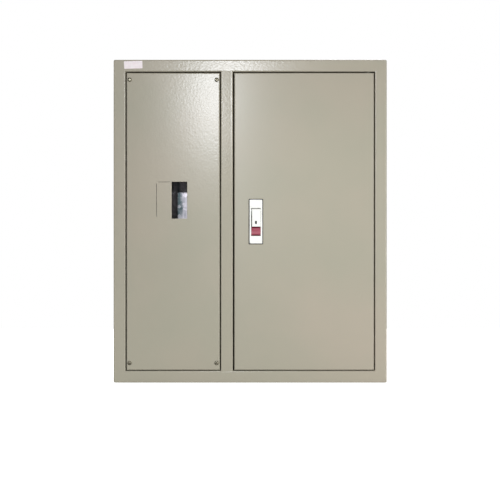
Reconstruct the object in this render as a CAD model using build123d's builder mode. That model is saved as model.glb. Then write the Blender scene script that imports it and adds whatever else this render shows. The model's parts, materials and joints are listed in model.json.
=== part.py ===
from build123d import *
import os

os.makedirs("parts", exist_ok=True)

# Distribution box for wall fixing, millimetres.
# X runs to the right, Y to the wall and Z up. The origin is the middle of the wall fixing holes.

# Cabinet body
width = 550.0
height = 650.0
depth = 150.0
sheet = 1.5
corner_radius = 3.0
fold_radius = 2.0
lip_edge_radius = 2.8
lip = 24.0
return_depth = 15.0
rebate = 14.0
mullion_width = 24.0
cover_opening_width = 192.0
cover_side_gap = 2.3
door_latch_gap = 3.0
door_hinge_gap = 2.2
panel_top_gap = 2.6
panel_bottom_gap = 1.7
fit = 0.05
thread_fit = 0.1
loose_fit = 0.3
weld_reach = 1.35
wall_hole_radius = 4.5
wall_hole_inset_x = 45.0
wall_hole_inset_z = 40.0

# Edges and feet that fasteners share
screw_edge = 0.7
pin_edge = 0.8
stud_radius = 3.0
stud_length = 16.0
stud_edge = 0.6
stud_foot_radius = 3.9
stud_foot_height = 1.0
nut_across_flats = 10.0
nut_height = 5.0
nut_lift = 4.0

# Left cover
cover_fold = 12.0
window_width = 31.0
window_height = 74.0
window_from_middle_x = 12.6
window_from_middle_z = 42.3
window_edge = 0.6
blank_width = 31.0
blank_side_slit = 0.85
blank_top_slit = 0.7
blank_bridge = 4.0
cover_screw_inset_x = 6.2
cover_screw_inset_z = 14.0
cover_screw_radius = 2.0
cover_screw_head_radius = 4.2
cover_screw_head_height = 2.4
cover_screw_past_rebate = 5.0

# Door and its pivots
door_fold = 12.0
pivot_from_edge = 10.8
pivot_behind_front = 7.0
pivot_radius = 3.0
pivot_head_radius = 5.0
pivot_head_height = 2.0
pivot_collar = 0.9
bush_wall = 1.5
bush_length = 9.0
seal_width = 10.0
seal_margin = 0.6
seal_relief = 0.25
hinge_relief = 28.0
stiffener_width = 36.0
stiffener_height = 9.0
stiffener_foot = 12.0
stiffener_from_end = 58.0
stiffener_from_lock = 110.0
door_stud_from_edge = 34.0
door_stud_above_bottom = 46.0

# Flush lock
lock_from_door_edge = 43.5
lock_z = -0.8
lock_body_width = 22.4
lock_body_height = 76.0
lock_body_depth = 14.0
bezel_side_flange = 1.6
bezel_end_flange = 6.0
bezel_proud = 3.0
bezel_edge = 0.5
bezel_corner = 1.5
gasket_thickness = 0.8
gasket_border = 1.7
pocket_width = 19.2
flap_thickness = 7.0
flap_length = 36.0
flap_top_above_lock = 26.0
flap_pin_radius = 1.25
flap_pin_length = 21.6
flap_gap = 0.5
flap_top_gap = 1.2
flap_left_gap = 1.9
flap_right_gap = 0.4
plug_radius = 4.2
plug_above_flap_end = 8.2
keyway_width = 3.8
keyway_height = 6.8
keyway_depth = 5.5
button_height = 18.1
button_travel = 3.0
button_slope_height = 3.4
button_slope_depth = 5.5
button_lug = 0.8
button_lug_height = 1.2
button_dish_radius = 18.0
button_dish_depth = 0.8
spring_radius = 2.6
spring_wire = 0.4
spring_wire_sides = 6
spring_seat_depth = 3.0
spring_turns = 5
spindle_radius = 6.0
spindle_flange = 1.0
spindle_below_flap_top = 8.3
cam_square = 8.0
cam_thickness = 2.0
cam_width = 16.0
cam_reach = 40.0
cam_behind_rebate = 1.5
cam_screw_radius = 2.5
cam_screw_head_radius = 5.5
cam_screw_head_height = 3.0
cam_screw_grip = 8.0
backing_margin = 5.0
lock_screw_radius = 1.5
lock_screw_head_radius = 2.7
lock_screw_head_height = 1.8
lock_screw_skin = 0.8

# Main switch plate behind the window
switch_plate_width = 150.0
switch_plate_height = 300.0
switch_plate_thickness = 2.0
switch_plate_edge = 10.0
switch_plate_behind_front = 80.0
switch_standoff_across_flats = 10.0
switch_standoff_inset_x = 14.0
switch_standoff_inset_z = 18.0
switch_slot_length = 24.0
switch_slot_width = 5.5
switch_slot_pitch_x = 90.0
switch_slot_pitch_z = 190.0
switch_screw_radius = 2.5
switch_screw_head_radius = 4.6
switch_screw_head_height = 2.8
switch_screw_grip = 12.0

# Chassis for two breaker rows
rail_inside_cover = 8.0
rail_height = 35.0
rail_web = 25.0
rail_depth = 7.5
rail_sheet = 1.0
row_spacing = 200.0
upright_inside_cover = 31.0
upright_flange = 22.0
upright_past_row = 110.0
upright_stud_from_end = 20.0
rail_screw_radius = 2.5
rail_screw_head_radius = 4.5
rail_screw_head_height = 2.5
rail_screw_past_upright = 3.0

# Inner cover over the breaker rows
inner_cover_side_gap = 12.0
inner_cover_from_end = 55.0
inner_cover_behind_front = 46.0
inner_cover_fold = 12.0
cover_to_rail = 46.0
slot_from_cover_edge = 23.0
slot_height = 46.0
post_radius = 5.0
post_inset_x = 16.0
post_inset_z = 16.0
inner_screw_radius = 2.5
inner_screw_head_radius = 4.6
inner_screw_head_height = 2.8
inner_screw_grip = 12.0

# Neutral and earth bars
bar_length = 190.0
bar_width = 10.0
bar_thickness = 8.0
bar_terminals = 8
bar_terminal_pitch = 18.0
bar_bore_radius = 2.75
bar_screw_radius = 2.0
bar_screw_head_radius = 3.0
bar_screw_head_height = 2.0
bar_from_end = 97.0
bar_support_width = 14.0
bar_support_height = 20.0
bar_support_depth = 26.0
bar_support_from_end = 8.0
bar_support_edge = 1.0

# Cable entry plates in the top and bottom walls
gland_cut_width = 280.0
gland_cut_depth = 66.0
gland_overlap = 14.0
gland_behind_front = 82.0
knockout_radius = 14.0
knockout_pitch = 56.0
knockout_count = 5
knockout_groove = 1.0
knockout_groove_depth = 0.9
gland_screw_radius = 2.0
gland_screw_head_radius = 3.8
gland_screw_head_height = 2.2

# Earth stud on the back
earth_stud_from_side = 125.0
earth_stud_above_base = 70.0

# Derived places
opening_width = width - 2 * lip
opening_height = height - 2 * lip
door_opening_width = opening_width - mullion_width - cover_opening_width
cover_x = -opening_width / 2 + cover_opening_width / 2
mullion_x = -opening_width / 2 + cover_opening_width + mullion_width / 2
door_opening_x = opening_width / 2 - door_opening_width / 2
door_x = door_opening_x + (door_latch_gap - door_hinge_gap) / 2
cover_width = cover_opening_width - 2 * cover_side_gap
door_width = door_opening_width - door_latch_gap - door_hinge_gap
panel_height = opening_height - panel_top_gap - panel_bottom_gap
panel_top = opening_height / 2 - panel_top_gap
panel_bottom = -opening_height / 2 + panel_bottom_gap
panel_z = (panel_top + panel_bottom) / 2
door_left = door_x - door_width / 2
door_right = door_x + door_width / 2
pivot_x = door_right - pivot_from_edge
back_face = depth - sheet
wall_hole_pitch_x = width - 2 * wall_hole_inset_x
wall_hole_pitch_z = height - 2 * wall_hole_inset_z
stiffener_length = panel_height - 2 * stiffener_from_end
bezel_width = lock_body_width + 2 * bezel_side_flange
bezel_height = lock_body_height + 2 * bezel_end_flange
lock_x = door_left + lock_from_door_edge
flap_top = lock_z + flap_top_above_lock
flap_bottom = flap_top - flap_length
flap_end_radius = flap_thickness / 2
flap_pin_z = flap_top - flap_end_radius
flap_pin_behind_front = flap_end_radius - bezel_proud
flap_width = pocket_width - flap_left_gap - flap_right_gap
flap_left = lock_x - pocket_width / 2 + flap_left_gap
button_width = pocket_width - 2 * loose_fit
plug_z = flap_bottom + plug_above_flap_end
button_top = flap_bottom - flap_gap
button_bottom = button_top - button_height
button_z = (button_top + button_bottom) / 2
pocket_top = flap_top + flap_top_gap
flap_pocket_floor = flap_thickness - bezel_proud + flap_gap
button_back = flap_thickness - bezel_proud
button_pocket_floor = button_back + button_travel + spring_wire * spring_turns
button_ledge = button_back - button_lug_height - loose_fit
spindle_z = flap_top - spindle_below_flap_top
cam_front = return_depth + sheet + cam_behind_rebate
inner_cover_x = door_opening_x + rebate / 2
inner_cover_width = door_opening_width - 2 * inner_cover_side_gap
inner_cover_height = height - 2 * inner_cover_from_end
slot_length = inner_cover_width - 2 * slot_from_cover_edge
rail_length = inner_cover_width - 2 * rail_inside_cover
rail_front = inner_cover_behind_front + sheet + cover_to_rail
rail_back = rail_front + rail_depth
upright_pitch = inner_cover_width - 2 * upright_inside_cover
upright_length = row_spacing + 2 * upright_past_row
upright_stud_pitch = upright_length - 2 * upright_stud_from_end
window_x = cover_x + window_from_middle_x
window_z = window_from_middle_z
blank_left = window_x - window_width / 2 - blank_width
blank_top_slit_x = window_x - window_width / 2 - blank_width / 2
bush_radius = pivot_radius + bush_wall
seal_left = mullion_x + mullion_width / 2 + seal_margin
seal_right = opening_width / 2 - hinge_relief
seal_length = seal_right - seal_left
seal_x = (seal_left + seal_right) / 2
seal_height = opening_height - 2 * seal_margin
stiffener_x = lock_x + stiffener_from_lock
lock_screw_grip = bezel_proud - lock_screw_skin
spring_height = button_pocket_floor - button_back + spring_seat_depth - 2 * spring_wire
bar_front = back_face - bar_support_depth
bar_from_middle = height / 2 - bar_from_end
bar_support_pitch = bar_length - 2 * bar_support_from_end
earth_stud_x = -width / 2 + earth_stud_from_side
earth_stud_z = -height / 2 + earth_stud_above_base


def behind_front(distance):
    """Plane that faces the front, at a distance behind the front face."""
    return Plane.XZ.offset(depth - distance)


def y_at(distance):
    return distance - depth


def raised_faces(part, plane, level):
    """Flat faces that look along the plane's normal at a level above it."""
    return part.faces().filter_by(
        lambda face: abs((face.center() - plane.origin).dot(plane.z_dir) - level) < 1e-4
    )


def pan_screws(plane, spots, head_radius, head_height, shank_radius, length):
    """Pan-head screws, seated on a plane."""
    with BuildPart() as screws:
        with BuildSketch(plane):
            with Locations(*spots):
                Circle(head_radius)
        extrude(amount=head_height)
        chamfer(raised_faces(screws.part, plane, head_height).edges(), screw_edge)
        with BuildSketch(plane):
            with Locations(*spots):
                Circle(shank_radius)
        extrude(amount=-length)
    return screws.part


def hex_nuts(plane, spots, bore_radius):
    """Plain hexagon nuts standing on a plane."""
    with BuildPart() as nuts:
        with BuildSketch(plane):
            with Locations(*spots):
                RegularPolygon(nut_across_flats / 2, 6, major_radius=False)
                Circle(bore_radius + thread_fit, mode=Mode.SUBTRACT)
        extrude(amount=nut_height)
    return nuts.part


def studs(plane, spots, length):
    """Weld studs with a small foot flange."""
    with BuildPart() as pins:
        with BuildSketch(plane):
            with Locations(*spots):
                Circle(stud_foot_radius)
        extrude(amount=stud_foot_height)
        with BuildSketch(plane):
            with Locations(*spots):
                Circle(stud_radius)
        extrude(amount=length)
        chamfer(raised_faces(pins.part, plane, length).edges(), stud_edge)
    return pins.part


def corner_spots(x, z, pitch_x, pitch_z):
    return [(x + i * pitch_x / 2, z + k * pitch_z / 2) for i in (-1, 1) for k in (-1, 1)]


# Fastener places, as X and Z, or X and Y for the entry plates
cover_screw_spots = corner_spots(
    cover_x, panel_z, cover_width - 2 * cover_screw_inset_x, panel_height - 2 * cover_screw_inset_z
)
lock_screw_spots = [(lock_x, lock_z + k * (bezel_height - bezel_end_flange) / 2) for k in (-1, 1)]
switch_screw_spots = corner_spots(
    cover_x, window_z,
    switch_plate_width - 2 * switch_standoff_inset_x, switch_plate_height - 2 * switch_standoff_inset_z,
)
upright_stud_spots = corner_spots(inner_cover_x, 0, upright_pitch + upright_flange, upright_stud_pitch)
rail_screw_spots = corner_spots(inner_cover_x, 0, upright_pitch - upright_flange, row_spacing)
post_spots = corner_spots(
    inner_cover_x, 0, inner_cover_width - 2 * post_inset_x, inner_cover_height - 2 * post_inset_z
)
gland_screw_spots = corner_spots(
    0, y_at(gland_behind_front), gland_cut_width + gland_overlap, gland_cut_depth + gland_overlap
)


def save(part, name):
    part.label = name
    export_step(part, "parts/" + name + ".step")


# Cabinet shell: walls, front lip, return folds and rebates round the front opening
with BuildPart() as cabinet_shell:
    with BuildSketch(behind_front(0)):
        RectangleRounded(width, height, corner_radius)
    extrude(amount=-depth)
    with BuildSketch(behind_front(sheet)):
        RectangleRounded(width - 2 * sheet, height - 2 * sheet, corner_radius - sheet)
    extrude(amount=-depth, mode=Mode.SUBTRACT)
    with BuildSketch(behind_front(0)):
        Rectangle(opening_width + 2 * sheet, opening_height + 2 * sheet)
    extrude(amount=-(return_depth + sheet))
    with BuildSketch(behind_front(0)):
        Rectangle(opening_width, opening_height)
    extrude(amount=-return_depth, mode=Mode.SUBTRACT)
    with BuildSketch(behind_front(return_depth)):
        with Locations(((rebate - hinge_relief) / 2, 0)):
            Rectangle(opening_width - rebate - hinge_relief, opening_height - 2 * rebate)
        with Locations(((opening_width - hinge_relief) / 2, 0)):
            Rectangle(hinge_relief, opening_height)
        with Locations((mullion_x, 0)):
            Rectangle(mullion_width + 2 * rebate, opening_height)
    extrude(amount=-sheet, mode=Mode.SUBTRACT)
    fillet(cabinet_shell.faces().filter_by(Axis.Y).sort_by(Axis.Y)[0].outer_wire().edges(), lip_edge_radius)
    fillet(cabinet_shell.faces().filter_by(Axis.Y).sort_by(Axis.Y)[0].inner_wires().edges(), fold_radius)
    with BuildSketch(behind_front(return_depth)):
        with Locations(*cover_screw_spots[:2]):
            Circle(cover_screw_radius + thread_fit)
    extrude(amount=-sheet, mode=Mode.SUBTRACT)
    with BuildSketch(Plane.XY.offset(opening_height / 2 + sheet)):
        with Locations((pivot_x, y_at(pivot_behind_front))):
            Circle(pivot_radius + fit)
    extrude(amount=-(opening_height + 2 * sheet), mode=Mode.SUBTRACT)
    with BuildSketch(Plane.XY.offset(height / 2)):
        with Locations((0, y_at(gland_behind_front))):
            Rectangle(gland_cut_width, gland_cut_depth)
        with Locations(*gland_screw_spots):
            Circle(gland_screw_radius + thread_fit)
    extrude(amount=-height, mode=Mode.SUBTRACT)
save(cabinet_shell.part, "cabinet_shell")

# Back panel, welded in flush with the rear edge of the walls
with BuildPart() as back_panel:
    with BuildSketch(behind_front(back_face)):
        RectangleRounded(width - 2 * sheet, height - 2 * sheet, corner_radius - sheet)
        with GridLocations(wall_hole_pitch_x, wall_hole_pitch_z, 2, 2):
            Circle(wall_hole_radius, mode=Mode.SUBTRACT)
    extrude(amount=-sheet)
save(back_panel.part, "back_panel")

# Centre mullion: a folded hat section with rebates on both sides, weld-filled to the lip
with BuildPart() as centre_mullion:
    with BuildSketch(Plane.XY.offset(-opening_height / 2)):
        with BuildLine():
            FilletPolyline(
                (mullion_x - mullion_width / 2 - rebate, y_at(return_depth + sheet / 2)),
                (mullion_x - (mullion_width - sheet) / 2, y_at(return_depth + sheet / 2)),
                (mullion_x - (mullion_width - sheet) / 2, y_at(sheet / 2)),
                (mullion_x + (mullion_width - sheet) / 2, y_at(sheet / 2)),
                (mullion_x + (mullion_width - sheet) / 2, y_at(return_depth + sheet / 2)),
                (mullion_x + mullion_width / 2 + rebate, y_at(return_depth + sheet / 2)),
                radius=fold_radius - sheet / 2,
            )
        trace(line_width=sheet)
    extrude(amount=opening_height)
    with BuildSketch(behind_front(0)):
        with Locations((mullion_x, 0)):
            Rectangle(mullion_width - 2 * fold_radius, opening_height + 2 * weld_reach)
    extrude(amount=-sheet)
    add(cabinet_shell.part, mode=Mode.SUBTRACT)
    with BuildSketch(behind_front(return_depth)):
        with Locations(*cover_screw_spots[2:]):
            Circle(cover_screw_radius + thread_fit)
    extrude(amount=-sheet, mode=Mode.SUBTRACT)
save(centre_mullion.part, "centre_mullion")

# Left cover: a folded pan with the switch window and a blank beside it, slit along its side and top
with BuildPart() as cover_panel:
    with BuildSketch(behind_front(0)):
        with Locations((cover_x, panel_z)):
            Rectangle(cover_width, panel_height)
    extrude(amount=-cover_fold)
    with BuildSketch(behind_front(sheet)):
        with Locations((cover_x, panel_z)):
            Rectangle(cover_width - 2 * sheet, panel_height - 2 * sheet)
    extrude(amount=-cover_fold, mode=Mode.SUBTRACT)
    fillet(cover_panel.faces().filter_by(Axis.Y).sort_by(Axis.Y)[0].edges(), fold_radius)
    with BuildSketch(behind_front(0)):
        with Locations((window_x, window_z)):
            Rectangle(window_width, window_height)
    extrude(amount=-sheet, mode=Mode.SUBTRACT)
    fillet(cover_panel.faces().filter_by(Axis.Y).sort_by(Axis.Y)[0].inner_wires().edges(), window_edge)
    with BuildSketch(behind_front(0)):
        with Locations((blank_left + blank_side_slit / 2, window_z)):
            Rectangle(blank_side_slit, window_height - 2 * blank_bridge)
        with Locations((blank_top_slit_x, window_z + (window_height - blank_top_slit) / 2)):
            Rectangle(blank_width - 2 * blank_bridge, blank_top_slit)
        with Locations(*cover_screw_spots):
            Circle(cover_screw_radius + loose_fit)
    extrude(amount=-sheet, mode=Mode.SUBTRACT)
save(cover_panel.part, "cover_panel")

cover_screws = pan_screws(
    behind_front(0), cover_screw_spots, cover_screw_head_radius, cover_screw_head_height,
    cover_screw_radius, return_depth + sheet + cover_screw_past_rebate,
)
save(cover_screws, "cover_screws")

# Foam seal clamped between the left cover and its four rebates
with BuildPart() as cover_seal:
    with BuildSketch(behind_front(return_depth)):
        with Locations((cover_x, 0)):
            Rectangle(cover_opening_width - 2 * seal_margin, seal_height)
            Rectangle(
                cover_opening_width - 2 * (seal_margin + seal_width), seal_height - 2 * seal_width,
                mode=Mode.SUBTRACT,
            )
        with Locations(*cover_screw_spots):
            Circle(cover_screw_radius + loose_fit, mode=Mode.SUBTRACT)
    extrude(amount=return_depth - cover_fold)
save(cover_seal.part, "cover_seal")

# Foam seal on the three rebates behind the door
with BuildPart() as door_seal:
    with BuildSketch(behind_front(return_depth)):
        with Locations((seal_x, 0)):
            Rectangle(seal_length, seal_height)
        with Locations((seal_x + seal_width, 0)):
            Rectangle(seal_length, seal_height - 2 * seal_width, mode=Mode.SUBTRACT)
    extrude(amount=return_depth - door_fold - seal_relief)
save(door_seal.part, "door_seal")

# Door: a folded pan, open at the back, with the lock cut-out and pivot holes
with BuildPart() as door_panel:
    with BuildSketch(behind_front(0)):
        with Locations((door_x, panel_z)):
            Rectangle(door_width, panel_height)
    extrude(amount=-door_fold)
    with BuildSketch(behind_front(sheet)):
        with Locations((door_x, panel_z)):
            Rectangle(door_width - 2 * sheet, panel_height - 2 * sheet)
    extrude(amount=-door_fold, mode=Mode.SUBTRACT)
    fillet(door_panel.faces().filter_by(Axis.Y).sort_by(Axis.Y)[0].edges(), fold_radius)
    with BuildSketch(behind_front(0)):
        with Locations((lock_x, lock_z)):
            Rectangle(lock_body_width + 2 * loose_fit, lock_body_height + 2 * loose_fit)
        with Locations(*lock_screw_spots):
            Circle(lock_screw_radius + thread_fit)
    extrude(amount=-sheet, mode=Mode.SUBTRACT)
    with BuildSketch(Plane.XY.offset(panel_top)):
        with Locations((pivot_x, y_at(pivot_behind_front))):
            Circle(bush_radius + fit)
    extrude(amount=-panel_height, mode=Mode.SUBTRACT)
save(door_panel.part, "door_panel")


def pivot_bush(end, level, gap):
    """Flanged nylon bush in the door's top fold, end 1, or bottom fold, end -1."""
    seat = Plane.XY.offset(level)
    with BuildPart() as bush:
        with BuildSketch(seat):
            with Locations((pivot_x, y_at(pivot_behind_front))):
                Circle(pivot_head_radius)
        extrude(amount=end * (gap - pivot_collar))
        with BuildSketch(seat):
            with Locations((pivot_x, y_at(pivot_behind_front))):
                Circle(bush_radius)
        extrude(amount=-end * bush_length)
        with BuildSketch(seat.offset(end * gap)):
            with Locations((pivot_x, y_at(pivot_behind_front))):
                Circle(pivot_radius + fit)
        extrude(amount=-end * (gap + bush_length), mode=Mode.SUBTRACT)
    return bush.part


save(pivot_bush(1, panel_top, panel_top_gap), "upper_pivot_bush")
save(pivot_bush(-1, panel_bottom, panel_bottom_gap), "lower_pivot_bush")

# Upper pivot pin, dropped through the top return fold until its head seats
with BuildPart() as upper_pivot_pin:
    with BuildSketch(Plane.XY.offset(opening_height / 2 + sheet)):
        with Locations((pivot_x, y_at(pivot_behind_front))):
            Circle(pivot_head_radius)
    extrude(amount=pivot_head_height)
    with BuildSketch(Plane.XY.offset(opening_height / 2 + sheet)):
        with Locations((pivot_x, y_at(pivot_behind_front))):
            Circle(pivot_radius)
    extrude(amount=-(sheet + panel_top_gap + bush_length - pivot_collar))
    chamfer(upper_pivot_pin.faces().sort_by(Axis.Z)[0].edges(), pin_edge)
save(upper_pivot_pin.part, "upper_pivot_pin")

# Lower pivot pin: its collar stands on the bottom return fold and carries the door
with BuildPart() as lower_pivot_pin:
    with BuildSketch(Plane.XY.offset(-opening_height / 2)):
        with Locations((pivot_x, y_at(pivot_behind_front))):
            Circle(pivot_head_radius)
    extrude(amount=pivot_collar)
    with BuildSketch(Plane.XY.offset(-opening_height / 2 - 2 * sheet)):
        with Locations((pivot_x, y_at(pivot_behind_front))):
            Circle(pivot_radius)
    extrude(amount=2 * sheet + panel_bottom_gap + bush_length - pivot_collar)
    chamfer(lower_pivot_pin.faces().sort_by(Axis.Z)[-1].edges(), pin_edge)
save(lower_pivot_pin.part, "lower_pivot_pin")

# Door stiffener: a folded hat section spot-welded inside the door
with BuildPart() as door_stiffener:
    with BuildSketch(Plane.XY.offset(-stiffener_length / 2)):
        with BuildLine():
            FilletPolyline(
                (stiffener_x - stiffener_width / 2 - stiffener_foot, y_at(1.5 * sheet)),
                (stiffener_x - stiffener_width / 2, y_at(1.5 * sheet)),
                (stiffener_x - stiffener_width / 2, y_at(sheet / 2 + stiffener_height)),
                (stiffener_x + stiffener_width / 2, y_at(sheet / 2 + stiffener_height)),
                (stiffener_x + stiffener_width / 2, y_at(1.5 * sheet)),
                (stiffener_x + stiffener_width / 2 + stiffener_foot, y_at(1.5 * sheet)),
                radius=fold_radius - sheet / 2,
            )
        trace(line_width=sheet)
    extrude(amount=stiffener_length)
save(door_stiffener.part, "door_stiffener")

door_stud_spot = (door_right - door_stud_from_edge, panel_bottom + door_stud_above_bottom)
door_inside = Plane(origin=(0, y_at(sheet), 0), x_dir=(1, 0, 0), z_dir=(0, 1, 0))
door_inside_spot = [(door_stud_spot[0], -door_stud_spot[1])]
save(studs(door_inside, door_inside_spot, stud_length), "door_earth_stud")
save(hex_nuts(door_inside.offset(nut_lift), door_inside_spot, stud_radius), "door_earth_nut")

# Lock bezel: flanged plastic housing with a pocket for the flap and a deeper one for the button
with BuildPart() as lock_bezel:
    with BuildSketch(behind_front(-gasket_thickness)):
        with Locations((lock_x, lock_z)):
            RectangleRounded(bezel_width, bezel_height, bezel_corner)
    extrude(amount=bezel_proud - gasket_thickness)
    chamfer(lock_bezel.faces().sort_by(Axis.Y)[0].edges(), bezel_edge)
    with BuildSketch(behind_front(-gasket_thickness)):
        with Locations((lock_x, lock_z)):
            Rectangle(lock_body_width, lock_body_height)
    extrude(amount=-(gasket_thickness + lock_body_depth))
    with BuildSketch(behind_front(-bezel_proud)):
        with Locations((lock_x, (pocket_top + button_top) / 2)):
            Rectangle(pocket_width, pocket_top - button_top)
    extrude(amount=-(bezel_proud + flap_pocket_floor), mode=Mode.SUBTRACT)
    with BuildSketch(behind_front(-bezel_proud)):
        with Locations((lock_x, button_z)):
            Rectangle(pocket_width, button_height + 2 * loose_fit)
    extrude(amount=-(bezel_proud + button_pocket_floor), mode=Mode.SUBTRACT)
    with BuildSketch(behind_front(button_ledge)):
        with Locations((lock_x, button_z)):
            Rectangle(pocket_width + 2 * button_lug, button_height + 2 * loose_fit)
    extrude(amount=-(button_pocket_floor - button_ledge), mode=Mode.SUBTRACT)
    with BuildSketch(behind_front(flap_pocket_floor)):
        with Locations((lock_x, spindle_z)):
            Circle(spindle_radius + spindle_flange + loose_fit)
    extrude(amount=-(spindle_flange + loose_fit), mode=Mode.SUBTRACT)
    with BuildSketch(behind_front(flap_pocket_floor)):
        with Locations((lock_x, spindle_z)):
            Circle(spindle_radius + fit)
    extrude(amount=-lock_body_depth, mode=Mode.SUBTRACT)
    with BuildSketch(Plane.YZ.offset(lock_x - flap_pin_length / 2)):
        with Locations((y_at(flap_pin_behind_front), flap_pin_z)):
            Circle(flap_pin_radius + fit)
    extrude(amount=flap_pin_length, mode=Mode.SUBTRACT)
    with BuildSketch(behind_front(0)):
        with Locations(*lock_screw_spots):
            Circle(lock_screw_radius + fit)
    extrude(amount=lock_screw_grip, mode=Mode.SUBTRACT)
save(lock_bezel.part, "lock_bezel")

# Gasket between the bezel and the door, a little wider than the bezel
with BuildPart() as lock_gasket:
    with BuildSketch(behind_front(0)):
        with Locations((lock_x, lock_z)):
            RectangleRounded(bezel_width + 2 * gasket_border, bezel_height + 2 * gasket_border, bezel_corner)
            Rectangle(lock_body_width + 2 * loose_fit, lock_body_height + 2 * loose_fit, mode=Mode.SUBTRACT)
        with Locations(*lock_screw_spots):
            Circle(lock_screw_radius + thread_fit, mode=Mode.SUBTRACT)
    extrude(amount=gasket_thickness)
save(lock_gasket.part, "lock_gasket")

# Backing plate that clamps the bezel to the door
with BuildPart() as lock_backing_plate:
    with BuildSketch(behind_front(sheet)):
        with Locations((lock_x, lock_z)):
            Rectangle(bezel_width + 2 * backing_margin, bezel_height + 2 * backing_margin)
            Rectangle(lock_body_width + 2 * loose_fit, lock_body_height + 2 * loose_fit, mode=Mode.SUBTRACT)
        with Locations(*lock_screw_spots):
            Circle(lock_screw_radius + thread_fit, mode=Mode.SUBTRACT)
    extrude(amount=-sheet)
save(lock_backing_plate.part, "lock_backing_plate")

backing_rear = Plane(origin=(0, y_at(2 * sheet), 0), x_dir=(1, 0, 0), z_dir=(0, 1, 0))
lock_fixing_screws = pan_screws(
    backing_rear, [(x, -z) for x, z in lock_screw_spots], lock_screw_head_radius, lock_screw_head_height,
    lock_screw_radius, 2 * sheet + lock_screw_grip - fit,
)
save(lock_fixing_screws, "lock_fixing_screws")

# Pin that the flap swings on
with BuildPart() as flap_pin:
    with BuildSketch(Plane.YZ.offset(lock_x - flap_pin_length / 2)):
        with Locations((y_at(flap_pin_behind_front), flap_pin_z)):
            Circle(flap_pin_radius)
    extrude(amount=flap_pin_length)
save(flap_pin.part, "flap_pin")

# Flap: rounded at the pin so that it can swing out of its pocket, bored for the key plug
with BuildPart() as lock_flap:
    with BuildSketch(Plane.YZ.offset(flap_left)):
        with Locations((y_at(flap_pin_behind_front), (flap_pin_z + flap_bottom) / 2)):
            Rectangle(flap_thickness, flap_pin_z - flap_bottom)
        with Locations((y_at(flap_pin_behind_front), flap_pin_z)):
            Circle(flap_end_radius)
            Circle(flap_pin_radius + fit, mode=Mode.SUBTRACT)
    extrude(amount=flap_width)
    with BuildSketch(behind_front(-bezel_proud)):
        with Locations((lock_x, plug_z)):
            Circle(plug_radius + fit)
    extrude(amount=-flap_thickness, mode=Mode.SUBTRACT)
save(lock_flap.part, "lock_flap")

# Key plug with its keyway
with BuildPart() as lock_plug:
    with BuildSketch(behind_front(-bezel_proud)):
        with Locations((lock_x, plug_z)):
            Circle(plug_radius)
    extrude(amount=-flap_thickness)
    with BuildSketch(behind_front(-bezel_proud)):
        with Locations((lock_x, plug_z)):
            SlotOverall(keyway_height, keyway_width, rotation=90)
    extrude(amount=-keyway_depth, mode=Mode.SUBTRACT)
save(lock_plug.part, "lock_plug")

# Push button: dished front between two steep slopes, side lugs that keep it in place, and a spring seat
with BuildPart() as push_button:
    with BuildSketch(Plane.YZ.offset(lock_x - button_width / 2)):
        with BuildLine():
            Polyline(
                (y_at(button_back), button_bottom),
                (y_at(button_slope_depth - bezel_proud), button_bottom),
                (y_at(-bezel_proud), button_bottom + button_slope_height),
                (y_at(-bezel_proud), button_top - button_slope_height),
                (y_at(button_slope_depth - bezel_proud), button_top),
                (y_at(button_back), button_top),
                close=True,
            )
        make_face()
    extrude(amount=button_width)
    with BuildSketch(behind_front(button_back)):
        with Locations((lock_x, button_z)):
            Rectangle(button_width + 2 * button_lug, button_height)
    extrude(amount=button_lug_height)
    with BuildSketch(Plane.YZ.offset(lock_x - button_width / 2)):
        with Locations((y_at(button_dish_depth - bezel_proud - button_dish_radius), button_z)):
            Circle(button_dish_radius)
    extrude(amount=button_width, mode=Mode.SUBTRACT)
    with BuildSketch(behind_front(button_back)):
        with Locations((lock_x, button_z)):
            Circle(spring_radius + spring_wire + loose_fit)
    extrude(amount=spring_seat_depth, mode=Mode.SUBTRACT)
save(push_button.part, "push_button")

# Return spring behind the button
with BuildPart() as button_spring:
    with BuildLine() as coil:
        Helix(
            spring_height / spring_turns, spring_height, spring_radius,
            center=(lock_x, y_at(button_pocket_floor - spring_wire), button_z), direction=(0, -1, 0),
        )
    with BuildSketch(Plane(coil.line @ 0, z_dir=coil.line % 0)):
        RegularPolygon(spring_wire, spring_wire_sides)
    sweep()
save(button_spring.part, "button_spring")

# Spindle: flanged at the front, squared at the back for the cam
with BuildPart() as lock_spindle:
    with BuildSketch(behind_front(flap_pocket_floor + loose_fit)):
        with Locations((lock_x, spindle_z)):
            Circle(spindle_radius + spindle_flange)
    extrude(amount=-spindle_flange)
    with BuildSketch(behind_front(flap_pocket_floor + loose_fit)):
        with Locations((lock_x, spindle_z)):
            Circle(spindle_radius)
    extrude(amount=-(cam_front - flap_pocket_floor - loose_fit))
    with BuildSketch(behind_front(cam_front)):
        with Locations((lock_x, spindle_z)):
            Rectangle(cam_square, cam_square)
    extrude(amount=-(cam_thickness - fit))
    with BuildSketch(behind_front(cam_front + cam_thickness)):
        with Locations((lock_x, spindle_z)):
            Circle(cam_screw_radius + thread_fit)
    extrude(amount=cam_screw_grip + loose_fit, mode=Mode.SUBTRACT)
save(lock_spindle.part, "lock_spindle")

# Cam, hanging down when the door is unlatched
with BuildPart() as lock_cam:
    with BuildSketch(behind_front(cam_front)):
        with Locations((lock_x, spindle_z - cam_reach / 2)):
            Rectangle(cam_width, cam_reach)
        with Locations((lock_x, spindle_z)):
            Circle(cam_width / 2)
            Rectangle(cam_square + 2 * fit, cam_square + 2 * fit, mode=Mode.SUBTRACT)
    extrude(amount=-cam_thickness)
    fillet(lock_cam.edges().filter_by(Axis.Y).group_by(Axis.Z)[0], fold_radius)
save(lock_cam.part, "lock_cam")

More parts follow.
